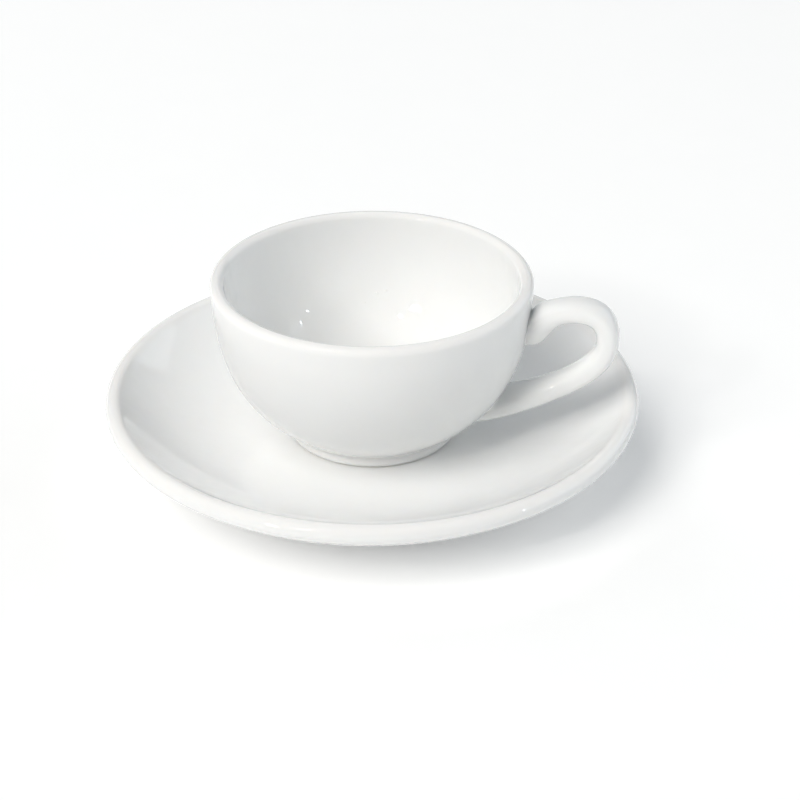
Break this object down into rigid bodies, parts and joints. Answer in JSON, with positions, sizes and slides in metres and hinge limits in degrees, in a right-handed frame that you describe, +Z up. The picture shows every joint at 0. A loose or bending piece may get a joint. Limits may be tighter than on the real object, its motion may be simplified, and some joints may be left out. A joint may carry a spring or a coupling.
{
  "type": "espresso cup and saucer",
  "caption": "Small round white porcelain cup with a looped handle and a foot ring, resting on a dished saucer with a rolled rim; for serving espresso.",
  "frame": {"origin": "centre of the saucer, on the surface that its foot ring stands on", "axes": "+Z up along the cup's and saucer's common axis, +X towards the handle"},
  "size_m": [0.1204, 0.1204, 0.0449],
  "materials": {
    "saucer_porcelain": "clear gloss glaze over white porcelain, bare foot ring",
    "cup_porcelain": "clear gloss glaze over white porcelain, bare foot ring"
  },
  "bodies": {
    "saucer": {"saucer": "saucer_porcelain"},
    "cup": {"cup_bowl": "cup_porcelain", "cup_handle": "cup_porcelain"}
  },
  "joints": [
    {"name": "cup_lift", "type": "slide", "parent": "saucer", "child": "cup", "axis": [0, 0, 1], "range_m": [0, 0.06]}
  ]
}
